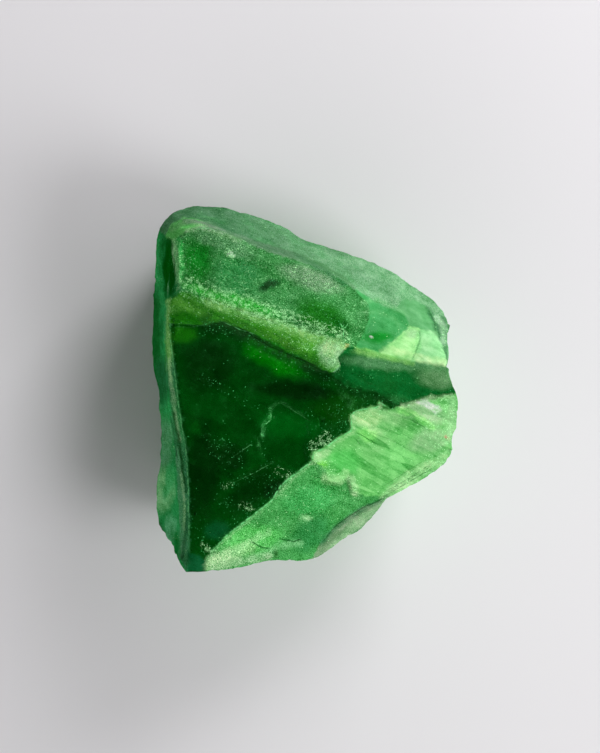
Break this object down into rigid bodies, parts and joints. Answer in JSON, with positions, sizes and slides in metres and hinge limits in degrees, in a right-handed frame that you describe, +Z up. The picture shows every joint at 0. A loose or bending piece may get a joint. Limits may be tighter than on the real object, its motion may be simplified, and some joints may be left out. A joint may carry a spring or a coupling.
{
  "type": "rough jadeite stone",
  "caption": "Rough piece of green jadeite, broken into glassy and frosted faces with a ledge along its crest, resting on a flat base.",
  "frame": {"origin": "middle of the stone's plan outline, on the plane of the flat face that it rests on", "axes": "+Z up from the base; +Y towards the wide back end with the domed grainy face; the pointed tip is at -Y; +X towards the bright broken slope"},
  "size_m": [0.0314, 0.0374, 0.0226],
  "materials": {
    "jadeite": "satin"
  },
  "bodies": {
    "root": {"jadeite_stone": "jadeite"}
  },
  "joints": []
}
